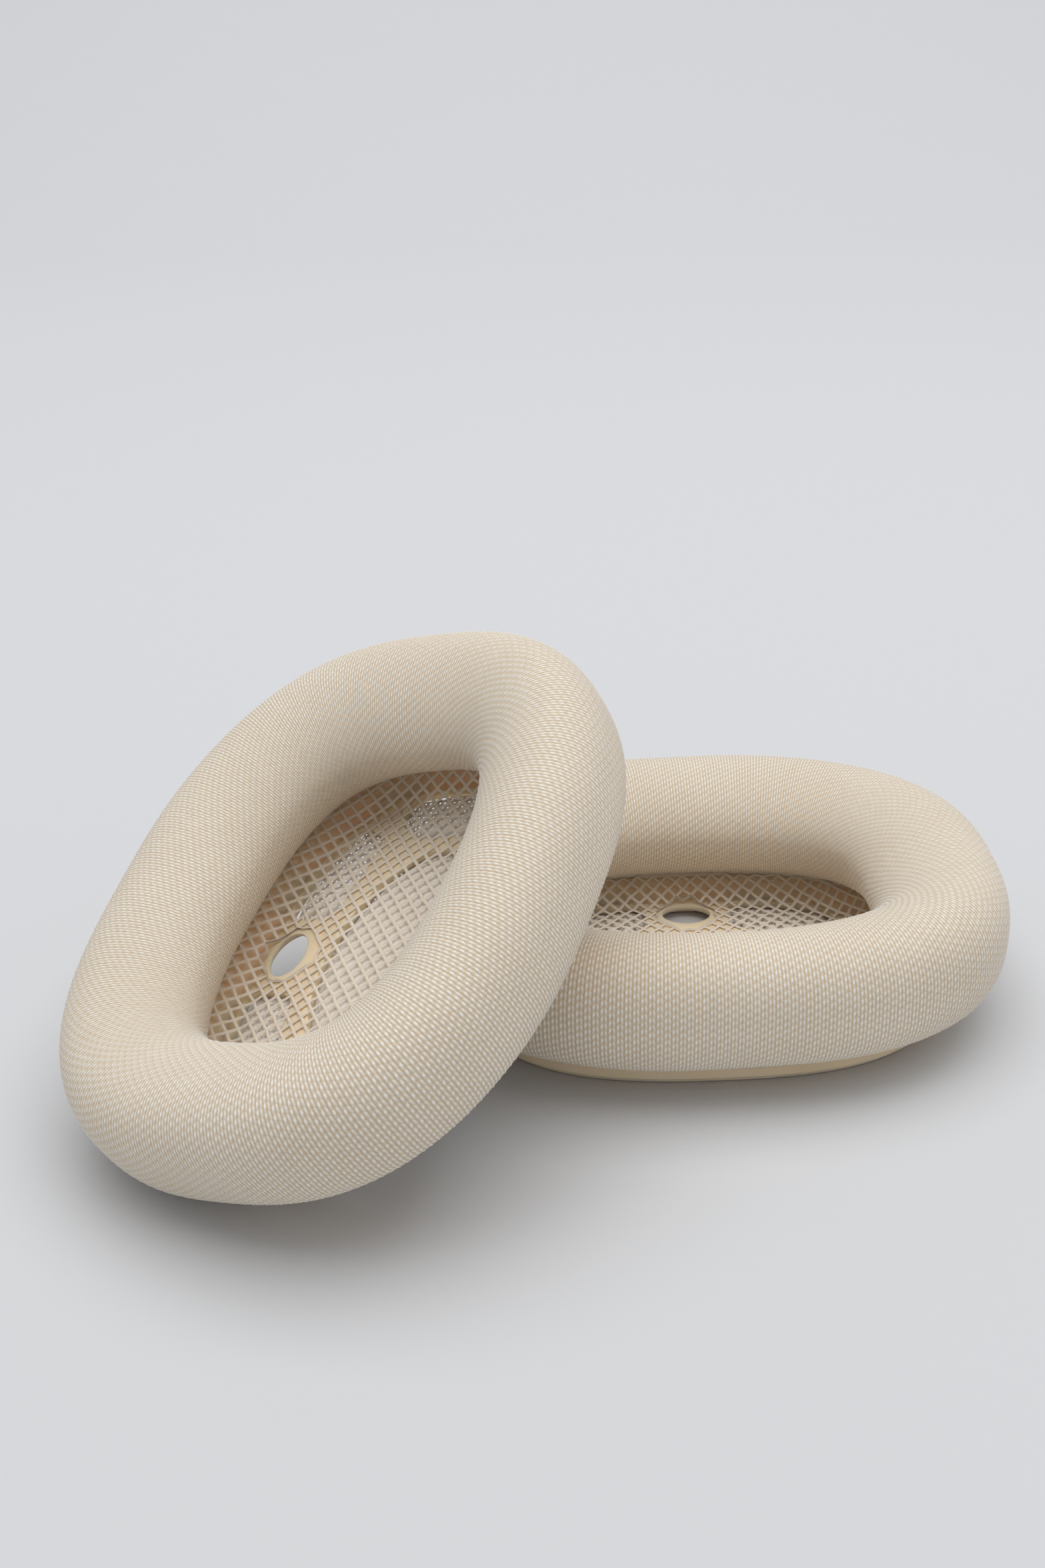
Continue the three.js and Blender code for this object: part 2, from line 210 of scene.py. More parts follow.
class Recipe:
    # a material's node tree, built a line at a time
    def __init__(self, name):
        self.material = bpy.data.materials.new(name)
        self.material.use_nodes = True
        self.tree = self.material.node_tree
        self.shader = self.tree.nodes["Principled BSDF"]

    def node(self, kind, **settings):
        made = self.tree.nodes.new(kind)
        for key, value in settings.items():
            setattr(made, key, value)
        return made

    def link(self, start, end):
        self.tree.links.new(start, end)

    def feed(self, socket, value):
        if isinstance(value, (int, float)):
            socket.default_value = value
        else:
            self.link(value, socket)

    def math(self, operation, a, b=0.0, c=0.0):
        made = self.node("ShaderNodeMath", operation=operation)
        for socket, value in zip(made.inputs, (a, b, c)):
            self.feed(socket, value)
        return made.outputs[0]

    def noise(self, vector, scale, detail):
        made = self.node("ShaderNodeTexNoise")
        made.inputs["Scale"].default_value = scale
        made.inputs["Detail"].default_value = detail
        self.link(vector, made.inputs["Vector"])
        return made.outputs["Fac"]

    def ramp(self, factor, stops):
        made = self.node("ShaderNodeValToRGB")
        line = made.color_ramp
        while len(line.elements) < len(stops):
            line.elements.new(0.5)
        for element, (place, colour) in zip(line.elements, stops):
            element.position = place
            element.color = (*colour, 1)
        self.link(factor, made.inputs["Fac"])
        return made.outputs["Color"]

    def mix(self, factor, a, b, blend="MIX"):
        made = self.node("ShaderNodeMix", data_type="RGBA", blend_type=blend)
        self.feed(made.inputs[0], factor)
        for socket, value in ((made.inputs[6], a), (made.inputs[7], b)):
            if isinstance(value, tuple):
                socket.default_value = (*value, 1)
            else:
                self.link(value, socket)
        return made.outputs[2]

    def bump(self, height, distance, strength=1.0, normal=None):
        made = self.node("ShaderNodeBump")
        made.inputs["Distance"].default_value = distance
        made.inputs["Strength"].default_value = strength
        self.link(height, made.inputs["Height"])
        if normal is not None:
            self.link(normal, made.inputs["Normal"])
        return made.outputs["Normal"]

    def place(self):
        return self.node("ShaderNodeTexCoord").outputs["Object"]

    def set(self, **values):
        for key, value in values.items():
            self.shader.inputs[key.replace("_", " ")].default_value = value


knitFinish = {
    # the pit colour is painted shade and the crest colour is a painted highlight; the yarn colour is the
    # knit's own
    "paintedPitShade": (0.62, 0.49, 0.34), "yarn": (0.75, 0.69, 0.585), "paintedCrestHighlight": (0.90, 0.885, 0.85),
    "legDepth": 0.00008, "fibreDepth": 0.00002,  # m of bump
    "lean": 0.09,  # how far the legs close towards the stitch's foot
    "legHeight": 0.42, "fold": 0.12, "beadHeight": 0.5,
    "leftBead": (-0.24, 0.0, 0.2, 0.32),  # across, along, half width, half length
    "rightBead": (0.25, 0.2, 0.2, 0.3), "rightShare": 0.55,
    "fibreScale": 5200.0, "patchScale": 60.0, "stitchScale": 900.0, "mottle": 0.3,
}


def knitMaterial():
    # every stitch has two legs that close towards its foot, and the left one stands up as a bead, painted
    # near white on top as a painted highlight
    k = knitFinish
    r = Recipe("cream_knit")
    stitch = r.node("ShaderNodeUVMap", uv_map="stitches").outputs["UV"]
    split = r.node("ShaderNodeSeparateXYZ")
    r.link(stitch, split.inputs[0])
    column = r.math("FLOOR", split.outputs["X"])
    across = r.math("SUBTRACT", r.math("FRACT", split.outputs["X"]), 0.5)
    half = r.math("MULTIPLY", r.math("MODULO", column, 2.0), 0.5)
    shifted = r.math("FRACT", r.math("ADD", split.outputs["Y"], half))
    along = r.math("SUBTRACT", shifted, 0.5)

    def bead(x, y, wide, tall):
        dx = r.math("DIVIDE", r.math("SUBTRACT", across, x), wide)
        dy = r.math("DIVIDE", r.math("SUBTRACT", along, y), tall)
        far = r.math("ADD", r.math("MULTIPLY", dx, dx), r.math("MULTIPLY", dy, dy))
        return r.math("MAXIMUM", r.math("SUBTRACT", 1.0, far), 0.0)

    closing = r.math("MULTIPLY", along, k["lean"])
    fromMiddle = r.math("ADD", r.math("ABSOLUTE", across), closing)
    wave = r.math("COSINE", r.math("MULTIPLY", fromMiddle, 4 * math.pi))
    legs = r.math("MULTIPLY", r.math("SUBTRACT", 1.0, wave), 0.5)
    courses = r.math("COSINE", r.math("MULTIPLY", along, 2 * math.pi))
    fold = r.math("MULTIPLY_ADD", courses, k["fold"], k["legHeight"])
    smallBead = r.math("MULTIPLY", bead(*k["rightBead"]), k["rightShare"])
    beads = r.math("MAXIMUM", bead(*k["leftBead"]), smallBead)
    height = r.math("ADD", r.math("MULTIPLY", legs, fold), r.math("MULTIPLY", beads, k["beadHeight"]))

    spot = r.place()
    fibre = r.noise(spot, k["fibreScale"], 2.0)
    patch = r.noise(spot, k["patchScale"], 3.0)
    stitchTone = r.noise(spot, k["stitchScale"], 1.0)
    # the colour follows the stitch height: darker in the pits as painted shade, near white on the crests
    # as a painted highlight
    tone = r.ramp(height, [(0.0, k["paintedPitShade"]), (0.3, k["yarn"]), (0.85, k["paintedCrestHighlight"])])
    patches = r.ramp(patch, [(0.3, (0.88, 0.82, 0.73)), (0.7, (1.0, 0.98, 0.95))])
    tone = r.mix(k["mottle"], tone, patches, "MULTIPLY")
    shades = r.ramp(stitchTone, [(0.3, (0.86, 0.82, 0.77)), (0.7, (1.0, 1.0, 1.0))])
    tone = r.mix(k["mottle"], tone, shades, "MULTIPLY")
    r.link(tone, r.shader.inputs["Base Color"])
    rough = r.ramp(height, [(0.0, grey(0.95)), (1.0, grey(0.45))])
    r.link(rough, r.shader.inputs["Roughness"])
    fine = r.bump(fibre, k["fibreDepth"], 0.5)
    r.link(r.bump(height, k["legDepth"], 1.0, fine), r.shader.inputs["Normal"])
    r.set(Sheen_Weight=0.2, Sheen_Roughness=0.5, Specular_IOR_Level=0.45)
    return r.material


def fabricMaterial(name, low, high, grain, glow=0.0):
    # short yarn grain, with light spread inside the yarn by its glow
    r = Recipe(name)
    spot = r.place()
    grainNoise = r.noise(spot, grain, 3.0)
    patch = r.noise(spot, 120.0, 2.0)
    tone = r.ramp(grainNoise, [(0.25, low), (0.75, high)])
    patches = r.ramp(patch, [(0.3, (0.88, 0.85, 0.8)), (0.7, grey(1.0))])
    tone = r.mix(0.3, tone, patches, "MULTIPLY")
    r.link(tone, r.shader.inputs["Base Color"])
    r.link(r.bump(grainNoise, 0.00004, 0.6), r.shader.inputs["Normal"])
    r.set(Roughness=0.85, Sheen_Weight=0.2)
    if glow:
        r.set(Subsurface_Weight=glow, Subsurface_Scale=0.0015)
        r.set(Subsurface_Radius=(1.0, 0.9, 0.75))
    return r.material


def mouldedMaterial():
    # satin moulded plastic with a slight flow mottle and a fine skin
    r = Recipe("amber_moulding")
    spot = r.place()
    flow = r.noise(spot, 90.0, 3.0)
    skin = r.noise(spot, 3500.0, 2.0)
    tone = r.ramp(flow, [(0.3, (0.90, 0.69, 0.46)), (0.7, (0.95, 0.76, 0.54))])
    r.link(tone, r.shader.inputs["Base Color"])
    r.link(r.bump(skin, 0.00001, 0.5), r.shader.inputs["Normal"])
    satin = r.ramp(skin, [(0.3, grey(0.42)), (0.7, grey(0.55))])
    r.link(satin, r.shader.inputs["Roughness"])
    r.set(Subsurface_Weight=0.6, Subsurface_Scale=0.003)
    r.set(Subsurface_Radius=(1.0, 0.8, 0.55))
    return r.material


def platedMaterial():
    # scuffed nickel plate for the magnets
    r = Recipe("nickel_plate")
    scuff = r.noise(r.place(), 1500.0, 4.0)
    tone = r.ramp(scuff, [(0.3, (0.60, 0.59, 0.57)), (0.7, (0.72, 0.71, 0.69))])
    r.link(tone, r.shader.inputs["Base Color"])
    rough = r.ramp(scuff, [(0.3, grey(0.2)), (0.7, grey(0.36))])
    r.link(rough, r.shader.inputs["Roughness"])
    r.set(Metallic=1.0)
    return r.material


def foamMaterial():
    # pale foam with darker pores
    r = Recipe("open_foam")
    cell = r.node("ShaderNodeTexVoronoi")
    cell.inputs["Scale"].default_value = 2200.0
    r.link(r.place(), cell.inputs["Vector"])
    pore = cell.outputs["Distance"]
    tone = r.ramp(pore, [(0.0, (0.4, 0.37, 0.3)), (0.5, (0.68, 0.65, 0.56))])
    r.link(tone, r.shader.inputs["Base Color"])
    r.link(r.bump(pore, 0.0001, 0.7), r.shader.inputs["Normal"])
    r.set(Roughness=0.95)
    return r.material


def tapeMaterial():
    # dull tape between the foam and the frame
    r = Recipe("pale_tape")
    grain = r.noise(r.place(), 700.0, 3.0)
    tone = r.ramp(grain, [(0.3, (0.72, 0.68, 0.58)), (0.7, (0.82, 0.78, 0.7))])
    r.link(tone, r.shader.inputs["Base Color"])
    r.link(r.bump(grain, 0.00003, 0.5), r.shader.inputs["Normal"])
    r.set(Roughness=0.6)
    return r.material


materials = {
    "knit": knitMaterial(),
    "net": fabricMaterial("beige_net", (0.72, 0.60, 0.47), (0.83, 0.72, 0.60), 2600.0, glow=0.6),
    "cloth": fabricMaterial("fine_cloth", (0.90, 0.86, 0.79), (0.97, 0.94, 0.89), 4200.0),
    "frame": mouldedMaterial(),
    "magnet": platedMaterial(),
    "foam": foamMaterial(),
    "tape": tapeMaterial(),
}
print("materials made")


knit = {
    "columns": 236,      # stitches round the ring
    "stitch": 1.24,      # mm along the section
    "samples": 4,        # mesh rows and columns in a stitch
    "relief": 0.13,      # mm
    "uneven": 0.12,      # share of the relief that changes from stitch to stitch
    "swellDepth": 0.12,  # mm of soft waviness in the padding
    "beadAt": -0.25, "beadWide": 0.19, "beadTall": 0.3,  # shares of a stitch
    "legHeight": 0.4, "beadHeight": 0.6, "sink": 0.35,   # shares of the relief
    "seed": 11,
    # the skirt from its hem up, and the hidden way back inside it: offset and height in mm
    "skirt": [[-0.8, 3.75], [-0.68, 4.4], [-0.3, 5.3], [0.55, 6.15], [1.4, 6.55]],
    "hidden": [[-4.0, 7.95], [-1.5, 7.95], [-1.46, 5.8], [-1.44, 3.85]],
    "hemTurn": -0.9, "tuckTurn": 2.79,  # where the ring's shown section starts and ends, in quarter turns
    # waves round the ring and along the section: count, phase, count, phase, strength
    "waves": [(3, 0.6, 1, 1, 1.0), (7, 2, 2, 0, 0.6)],
}


def paddedSection():
    # the shown section, from the skirt's hem up the outside, over the crown and under the inside
    up = ring["height"] - ring["widest"]
    down = ring["widest"] - ring["bottom"]
    line = np.concatenate([
        np.array(knit["skirt"]),
        quarterCurve(ring["bulgeOut"], down, ring["lowOutPower"], knit["hemTurn"], 0)[:-1],
        quarterCurve(ring["bulgeOut"], up, ring["topOutPower"], 0, 1)[:-1],
        quarterCurve(ring["bulgeIn"], up, ring["topInPower"], 1, 2)[:-1],
        quarterCurve(ring["bulgeIn"], down, ring["lowInPower"], 2, knit["tuckTurn"]),
    ])
    run = np.concatenate([[0], np.cumsum(np.hypot(*np.diff(line, axis=0).T))])
    rows = int(run[-1] / knit["stitch"] * knit["samples"])
    even = np.linspace(0, run[-1], rows + 1)
    return np.stack([np.interp(even, run, line[:, 0]), np.interp(even, run, line[:, 1])], axis=1)


def knitCover(side, place):
    samples = knit["samples"]
    shown = paddedSection()
    line = np.concatenate([shown, np.array(knit["hidden"])])
    rows, steps = len(line), knit["columns"] * samples
    tangent = np.roll(line, -1, axis=0) - np.roll(line, 1, axis=0)
    tangent /= np.hypot(tangent[:, 0], tangent[:, 1])[:, None]
    normalOut, normalUp = tangent[:, 1], -tangent[:, 0]

    angles = evenAngles(steps)
    x, y, nx, ny = ovalCurve(angles)
    swell = 1 + ring["endSwell"] / ring["bulgeIn"] * np.cos(2 * angles)

    i = np.arange(steps)[:, None]
    j = np.arange(rows)[None, :]
    column = i // samples
    across = (i % samples) / samples - 0.5
    along = (j / samples + 0.5 * (column % 2)) % 1 - 0.5
    stitchRow = (j / samples + 0.5 * (column % 2)).astype(int)
    draw = np.random.default_rng(knit["seed"])
    uneven = draw.uniform(-1, 1, (knit["columns"], rows))
    lump = 1 + knit["uneven"] * uneven[column, stitchRow % rows]
    legs = 0.5 - 0.5 * np.cos(4 * math.pi * across)
    beadAcross = (across - knit["beadAt"]) / knit["beadWide"]
    bead = np.exp(-beadAcross ** 2 - (along / knit["beadTall"]) ** 2)
    bump = knit["legHeight"] * legs + knit["beadHeight"] * bead
    ends = np.clip(np.minimum(j, len(shown) - 1 - j) / (2 * samples), 0, 1)
    wave = 0
    for around, phase, lengthwise, shift, strength in knit["waves"]:
        roundWave = np.sin(around * angles + phase)[:, None]
        sectionWave = np.sin(j / rows * lengthwise * 2 * math.pi + shift)
        wave = wave + strength * roundWave * sectionWave
    relief = knit["relief"] * (bump * lump - knit["sink"])
    lift = ends * (relief + knit["swellDepth"] * wave)

    offset = line[:, 0] * np.where(line[:, 0] < 0, swell[:, None], 1) + normalOut * lift
    height = line[:, 1] + normalUp * lift
    points = np.stack([
        x[:, None] + nx[:, None] * offset,
        y[:, None] + ny[:, None] * offset,
        height,
    ], axis=2).reshape(-1, 3)

    nextStep, nextRow = (i + 1) % steps, (j + 1) % rows
    faces = np.stack(np.broadcast_arrays(
        i * rows + j, nextStep * rows + j, nextStep * rows + nextRow, i * rows + nextRow,
    ), axis=2).reshape(-1, 4)
    piece = meshPiece(side + "_cover", points.tolist(), faces.tolist(), Matrix.Identity(4))

    # stitch counts round and along, so that the pattern follows the knit
    corner = np.stack(np.broadcast_arrays(i, j), axis=2)
    steps4 = np.stack([corner, corner + [1, 0], corner + [1, 1], corner + [0, 1]], axis=2) / samples
    layer = piece.data.uv_layers.new(name="stitches")
    layer.data.foreach_set("uv", steps4.astype(float).ravel())
    piece.data.polygons.foreach_set("use_smooth", [True] * len(piece.data.polygons))
    piece.data.materials.append(materials["knit"])
    seat(piece, side, place, "knit", side + "_knit_cover")
    return piece


moulding = {
    "sideInset": 1.8, "rimInset": 3.1, "seatHeight": 5.8, "seatWide": 1.7, "rampRun": 2.6,
    "plateTop": 2.4, "plateBack": 1.2, "rimWide": 3.9, "steps": 180, "edgeRound": 0.3,
    "centreInset": 20.4, "centrePower": 1.9, "windowInset": 7.6, "centreBar": 2.6,
    "sideWindowEnd": 14.8, "endWindowReach": 21.6, "windowRound": 3.6,
    "sensorRadius": 4.4, "sensorInset": 13.4, "sensorWall": 0.9, "sensorMargin": 2.1,
    "sightLong": 4.3, "sightShort": 3.4, "sightShift": 1.0, "sightLip": 0.6, "sightFlare": 0.9,
    "magnets": 8, "magnetInset": 5, "magnetLong": 8.6, "magnetWide": 2.6, "pocketDeep": 2.2,
    # how far the windows' corners are cut and leant
    "sidePower": 3, "sideCut": 2.8, "sideLean": 2, "endCorner": 4.8, "endBevel": 4,
    "endBack": 4.6, "endDip": 1.2, "endStep": 1,
    "windowEdge": 0.18, "bossEdge": 0.22, "bossProud": 0.12, "overlap": 0.2,
    "floorLap": 0.5, "cutTop": 5, "cutPast": 1, "weld": 0.002,
}


def sensorY():
    # the sensor hole's middle, on the short axis
    return oval["shortHalf"] - moulding["sensorInset"]


def roundedOutline(corners, radius, steps=6):
    # corners rounded off by a curve as long as the sides leave room for
    points = []
    for before, here, after in zip(corners[-1:] + corners[:-1], corners, corners[1:] + corners[:1]):
        here, before, after = Vector(here), Vector(before), Vector(after)
        cut = min(radius, (before - here).length * 0.45, (after - here).length * 0.45)
        enter = here + (before - here).normalized() * cut
        leaves = here + (after - here).normalized() * cut
        for k in range(steps + 1):
            t = k / steps
            points.append(enter * (1 - t) ** 2 + here * 2 * t * (1 - t) + leaves * t * t)
    return [(p.x, p.y) for p in points]


def windowOutlines():
    # four side windows, two end windows and the central opening
    m = moulding
    outLong = oval["longHalf"] - m["windowInset"]
    outShort = oval["shortHalf"] - m["windowInset"]
    centreLong = oval["longHalf"] - m["centreInset"]
    centreShort = oval["shortHalf"] - m["centreInset"]

    def outer(x):
        power = m["sidePower"]
        return outShort * (1 - abs(x / outLong) ** power) ** (1 / power)

    near = m["sensorRadius"] + m["sensorWall"] + m["sensorMargin"]
    far = oval["longHalf"] - m["sideWindowEnd"]
    cut, lean = m["sideCut"], m["sideLean"]
    innerEdge = centreShort + m["centreBar"]
    shoulder = (near + far) / 2 + lean
    side = [
        (near, innerEdge), (far - cut, innerEdge - cut), (far, (innerEdge + outer(far)) / 2),
        (far - lean, outer(far - lean)), (shoulder, outer(shoulder)), (near, outer(near)),
    ]
    endIn = centreLong + m["centreBar"]
    endHalf = oval["shortHalf"] - m["endWindowReach"]
    upperEnd = [
        (outLong, endHalf - m["endBack"]), (outLong - m["endStep"], endHalf - m["endDip"]),
        (endIn + m["endBevel"], endHalf), (endIn, endHalf - m["endCorner"]),
    ]
    end = [(x, -y) for x, y in upperEnd[::-1]] + upperEnd
    outlines = []
    for sx in (1, -1):
        for sy in (1, -1):
            corners = [(x * sx, y * sy) for x, y in side][::sx * sy]
            outlines.append(roundedOutline(corners, m["windowRound"]))
        corners = [(x * sx, y) for x, y in end][::sx]
        outlines.append(roundedOutline(corners, m["windowRound"]))
    turn = np.linspace(0, 2 * math.pi, 97)[:-1]
    c, s = np.cos(turn), np.sin(turn)
    power = m["centrePower"]
    reach = (abs(c / centreLong) ** power + abs(s / centreShort) ** power) ** (-1 / power)
    outlines.append(list(zip(reach * c, reach * s)))
    return outlines


def prism(name, outline, low, high):
    # a closed outline extruded up
    corners = [(x, y, low) for x, y in outline]
    piece = meshPiece(name, corners, [tuple(range(len(corners)))], Matrix.Identity(4))
    edit(piece)
    bpy.ops.mesh.extrude_region_move(TRANSFORM_OT_translate={"value": (0, 0, high - low)})
    bpy.ops.mesh.select_all(action="SELECT")
    bpy.ops.mesh.normals_make_consistent(inside=False)
    leave()
    return piece


def spunRing(name, profile, steps):
    # a closed profile spun round and drawn out to the oval
    middle = 30
    piece = meshPiece(
        name,
        [(middle + offset, 0, z) for offset, z in profile],
        [tuple(range(len(profile)))],
        Matrix.Identity(4),
    )
    edit(piece)
    bpy.ops.mesh.delete(type="ONLY_FACE")
    bpy.ops.mesh.select_all(action="SELECT")
    bpy.ops.mesh.spin(steps=steps, angle=2 * math.pi, center=(0, 0, 0), axis=(0, 0, 1))
    bpy.ops.mesh.select_all(action="SELECT")
    bpy.ops.mesh.remove_doubles(threshold=0.001)
    leave()
    points = vertexArray(piece)
    angles = np.arctan2(points[:, 1], points[:, 0])
    offset = np.hypot(points[:, 0], points[:, 1]) - middle
    x, y, nx, ny = ovalCurve(angles)
    setVertices(piece, np.stack([x + nx * offset, y + ny * offset, points[:, 2]], axis=1))
    edit(piece)
    bpy.ops.mesh.normals_make_consistent(inside=False)
    leave()
    return piece


def combine(piece, other, operation):
    applied(piece, "BOOLEAN", object=other, operation=operation, solver="EXACT")
    bpy.data.objects.remove(other, do_unlink=True)


def post(long, short, y, low, high):
    bpy.ops.mesh.primitive_cylinder_add(
        vertices=72, radius=1, depth=high - low, location=(0, y, (low + high) / 2))
    made = bpy.context.object
    made.scale = (long, short, 1)
    bpy.ops.object.transform_apply(location=True, rotation=True, scale=True)
    return made


def rimRing(side):
    # the seat, the ramp and the rim in one section
    m = moulding
    sideAt, rimAt = -m["sideInset"], -m["rimInset"]
    seatIn = sideAt - m["seatWide"]
    rimIn = rimAt - m["rimWide"]
    rampIn = seatIn - m["rampRun"]
    r = m["edgeRound"]
    ease = 0.1
    profile = [
        (rimAt - r, 0), (rimAt, r),
        (rimAt, m["plateBack"] - ease), (rimAt + ease, m["plateBack"]),
        (sideAt - r, m["plateBack"]), (sideAt, m["plateBack"] + r),
        (sideAt, m["seatHeight"] - r), (sideAt - r, m["seatHeight"]),
        (seatIn + ease, m["seatHeight"]), (seatIn - ease, m["seatHeight"] - 1.5 * ease),
        (rampIn + ease, m["plateTop"] + 1.5 * ease), (rampIn - 2 * ease, m["plateTop"]),
        (rimIn, m["plateTop"]), (rimIn, r), (rimIn + r, 0),
    ]
    return spunRing(side + "_moulded_frame", profile, m["steps"])


def windowedPlate():
    m = moulding
    inner = m["floorLap"] - m["rimInset"] - m["rimWide"]
    x, y, nx, ny = ovalCurve(evenAngles(m["steps"]))
    plate = prism("plate", list(zip(x + nx * inner, y + ny * inner)), m["plateBack"], m["plateTop"])
    for outline in windowOutlines():
        combine(plate, prism("window", outline, 0, m["cutTop"]), "DIFFERENCE")
    applied(plate, "BEVEL", width=m["windowEdge"], segments=2,
            limit_method="ANGLE", angle_limit=math.radians(50))
    return plate


def addSensorSeat(piece):
    # a round boss with an oval sight hole that widens below its lip
    m = moulding
    radius = m["sensorRadius"] + m["sensorWall"]
    top = m["plateTop"] + m["bossProud"]
    past = m["cutPast"]
    sightY = sensorY() + m["sightShift"]
    long, short, flare = m["sightLong"], m["sightShort"], m["sightFlare"]
    boss = post(radius, radius, sensorY(), 0, top)
    combine(boss, post(long, short, sightY, -past, top + past), "DIFFERENCE")
    combine(boss, post(long + flare, short + flare, sightY, -past, top - m["sightLip"]), "DIFFERENCE")
    applied(boss, "BEVEL", width=m["bossEdge"], segments=3,
            limit_method="ANGLE", angle_limit=math.radians(50))
    room = radius - m["overlap"]
    combine(piece, post(room, room, sensorY(), -past, top + past), "DIFFERENCE")
    combine(piece, boss, "UNION")


def cutMagnetPockets(piece):
    m = moulding
    past, near = m["cutPast"], 0.01
    for k in range(m["magnets"]):
        angle = 2 * math.pi * (k + 0.5) / m["magnets"]
        px, py = ovalAt(angle, -m["magnetInset"])
        ax, ay = ovalAt(angle + near, 0)
        bx, by = ovalAt(angle - near, 0)
        bpy.ops.mesh.primitive_cube_add(size=1, location=(px, py, (m["pocketDeep"] - past) / 2))
        pocket = bpy.context.object
        pocket.scale = (m["magnetLong"], m["magnetWide"], m["pocketDeep"] + past)
        pocket.rotation_euler = (0, 0, math.atan2(ay - by, ax - bx))
        bpy.ops.object.transform_apply(location=True, rotation=True, scale=True)
        combine(piece, pocket, "DIFFERENCE")


def mouldedFrame(side, place):
    piece = rimRing(side)
    combine(piece, windowedPlate(), "UNION")
    addSensorSeat(piece)
    cutMagnetPockets(piece)
    edit(piece)
    bpy.ops.mesh.remove_doubles(threshold=moulding["weld"])
    bpy.ops.mesh.dissolve_degenerate(threshold=moulding["weld"] / 2)
    leave()
    smooth(piece, 35)
    piece.data.materials.clear()
    piece.data.materials.append(materials["frame"])
    seat(piece, side, place, "frame", side + "_carrier_frame")
    return piece


# In millimetres: the strands' middle lies at low, turns up at foot and ends at the hem
net = {
    "diamondLong": 2.7, "diamondShort": 2.9, "strand": 0.95, "thick": 0.34, "uneven": 0.06,
    "low": 2.66, "foot": -9.6, "hemRise": 6.2, "hemInset": 3.9, "hole": 5.0, "seed": 5,
    "spare": 8, "slack": 0.1, "join": 0.45, "softEdge": 0.16,
    "leastShare": 0.31,  # of the flat sheet's area, which an open net can't go below
}


def hemRun():
    # the net's length from where it leaves the plate to its hem
    return math.hypot(-net["hemInset"] - net["foot"], net["hemRise"] - net["low"])


def bendUp(points):
    # flat over the plate, then straight up to the hem, at its own length
    offset, normals = offsetOf(points)
    past = np.maximum(offset - net["foot"], 0)
    run = hemRun()
    along = (-net["hemInset"] - net["foot"]) / run
    points = points.copy()
    points[:, :2] -= normals * (past * (1 - along))[:, None]
    points[:, 2] += net["low"] + past * (net["hemRise"] - net["low"]) / run
    return points


def diamondNet(side, place):
    wide, tall = 2 * oval["longHalf"], 2 * oval["shortHalf"]
    count = int(wide / net["diamondLong"]) + int(tall / net["diamondShort"]) + net["spare"]
    bpy.ops.mesh.primitive_grid_add(x_subdivisions=count, y_subdivisions=count, size=count)
    piece = bpy.context.object
    piece.name = side + "_diamond_net"
    piece.rotation_euler = (0, 0, math.radians(45))
    bpy.ops.object.transform_apply(rotation=True)
    squareSide = math.sqrt(0.5)
    piece.scale = (net["diamondLong"] * squareSide, net["diamondShort"] * squareSide, 1)
    bpy.ops.object.transform_apply(scale=True)

    # corners just past the hem or inside the hole are drawn on to its line, the rest are cut away
    middle = np.array([0, sensorY()])
    points = vertexArray(piece)
    reach = net["diamondShort"] / 2 + net["slack"]
    offset, _ = offsetOf(points)
    away = np.hypot(*(points[:, :2] - middle).T)
    hem = net["foot"] + hemRun()
    cutAway(piece, (offset > hem + reach) | (away < net["hole"] - reach))
    points = vertexArray(piece)
    offset, normals = offsetOf(points)
    past = np.maximum(offset - hem, 0)
    points[:, :2] -= normals * past[:, None]
    gap = points[:, :2] - middle
    away = np.hypot(*gap.T)
    inside = away < net["hole"]
    points[inside, :2] = (middle + gap / away[:, None] * net["hole"])[inside]
    draw = np.random.default_rng(net["seed"])
    points[:, :2] += draw.normal(0, net["uneven"], (len(points), 2)) * (past == 0)[:, None]
    setVertices(piece, points)
    edit(piece)
    bpy.ops.mesh.remove_doubles(threshold=net["join"])
    leave()
    applied(piece, "WIREFRAME", thickness=net["strand"], use_replace=True, use_even_offset=False)
    applied(piece, "BEVEL", width=net["softEdge"], segments=2,
            limit_method="ANGLE", angle_limit=math.radians(50))
    points = vertexArray(piece)
    points[:, 2] *= net["thick"] / net["strand"]
    setVertices(piece, bendUp(points))
    smooth(piece, 60)
    piece.data.materials.clear()
    piece.data.materials.append(materials["net"])
    seat(piece, side, place, "net", side + "_mesh_screen")
    return piece


cloth = {
    "pitch": 1.0, "rim": 0.35, "inset": 7.3, "height": 0.8, "closedInset": 1.7,
    "sensorGap": 0.3,
    "crown": 1.15, "crownRun": 2.2,  # mm that it stands up into each opening, and over what run
}


def insideCentre(points, inset):
    # whether points lie inside the central opening, this far from its edge
    m = moulding
    long = oval["longHalf"] - m["centreInset"] - inset
    short = oval["shortHalf"] - m["centreInset"] - inset
    power = m["centrePower"]
    return abs(points[:, 0] / long) ** power + abs(points[:, 1] / short) ** power < 1


def openingDepth(points):
    # how far points lie inside the nearest of the frame's openings, and zero outside them
    depth = np.zeros(len(points))
    for outline in windowOutlines():
        line = np.array(outline)
        after = np.roll(line, -1, axis=0)
        run = after - line
        gap = points[:, None, :2] - line
        share = np.clip((gap * run).sum(axis=2) / (run * run).sum(axis=1), 0, 1)
        far = np.hypot(*np.moveaxis(gap - share[:, :, None] * run, 2, 0)).min(axis=1)
        over = (line[:, 1] > points[:, 1, None]) != (after[:, 1] > points[:, 1, None])
        rise = np.where(run[:, 1] == 0, 1, run[:, 1])
        crossing = line[:, 0] + run[:, 0] * (points[:, 1, None] - line[:, 1]) / rise
        within = (over & (points[:, 0, None] < crossing)).sum(axis=1) % 2 == 1
        depth = np.where(within, np.maximum(depth, far), depth)
    return depth


